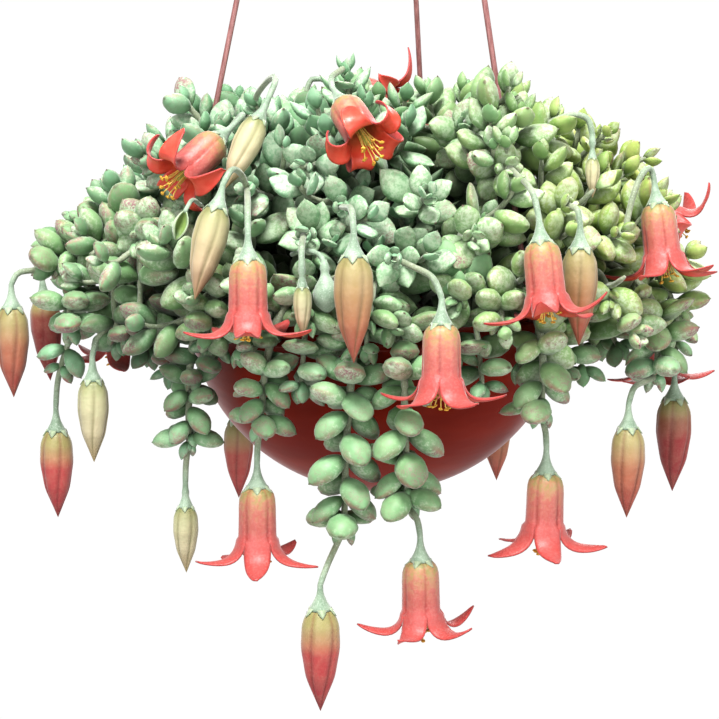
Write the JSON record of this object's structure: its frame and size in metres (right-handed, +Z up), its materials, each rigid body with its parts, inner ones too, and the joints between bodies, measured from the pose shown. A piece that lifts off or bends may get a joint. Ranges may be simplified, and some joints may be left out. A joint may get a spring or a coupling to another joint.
{
  "type": "potted cotyledon",
  "caption": "Trailing succulent with plump opposite leaves, nodding bell flowers and spindle buds, in a half-ball bowl that hangs on strands from a hook.",
  "frame": {"origin": "the top of the hook's inner bend, where it touches the rail that it hangs on", "axes": "+Z up, +X to the right of the picture's viewer, -Y towards that viewer"},
  "size_m": [0.3028, 0.283, 0.5764],
  "materials": {
    "bowl": "glossy",
    "soil": "rough",
    "hanger": "satin",
    "leaf": "waxy, matt",
    "petal": "satin",
    "bud": "satin",
    "stamen": "matt"
  },
  "bodies": {
    "root": {"bowl": "bowl", "bud_back_left": "bud", "bud_back_right": "bud", "bud_centre": "bud", "bud_far_left": "bud", "bud_far_right": "bud", "bud_left_behind": "bud", "bud_left_low": "bud", "bud_left_middle": "bud", "bud_low_front": "bud", "bud_right_low": "bud", "bud_right_middle": "bud", "bud_top_left": "bud", "flower_back_low": "petal", "flower_back_middle": "petal", "flower_back_right": "petal", "flower_back_top": "petal", "flower_centre": "petal", "flower_centre_right": "petal", "flower_far_right": "petal", "flower_left": "petal", "flower_low_front": "petal", "flower_low_left": "petal", "flower_low_right": "petal", "flower_right": "petal", "flower_side_left": "petal", "flower_side_right": "petal", "flower_top_left": "petal", "flower_top_middle": "petal", "hook": "hanger", "soil": "soil", "stamens_centre": "stamen", "stamens_centre_right": "stamen", "stamens_far_right": "stamen", "stamens_left": "stamen", "stamens_low_front": "stamen", "stamens_low_left": "stamen", "stamens_low_right": "stamen", "stamens_right": "stamen", "stamens_side_right": "stamen", "stamens_top_left": "stamen", "stamens_top_middle": "stamen", "stems_back_left": "leaf", "stems_back_right": "leaf", "stems_front": "leaf", "stems_front_left": "leaf", "stems_front_right": "leaf", "stems_left_arm": "leaf", "stems_left_low": "leaf", "stems_left_top": "leaf", "stems_middle": "leaf", "stems_right_low": "leaf", "stems_right_middle": "leaf", "stems_right_top": "leaf", "stems_top_left": "leaf", "stems_top_middle": "leaf", "stems_top_right": "leaf", "strand_1": "hanger", "strand_2": "hanger", "strand_3": "hanger"}
  },
  "joints": []
}
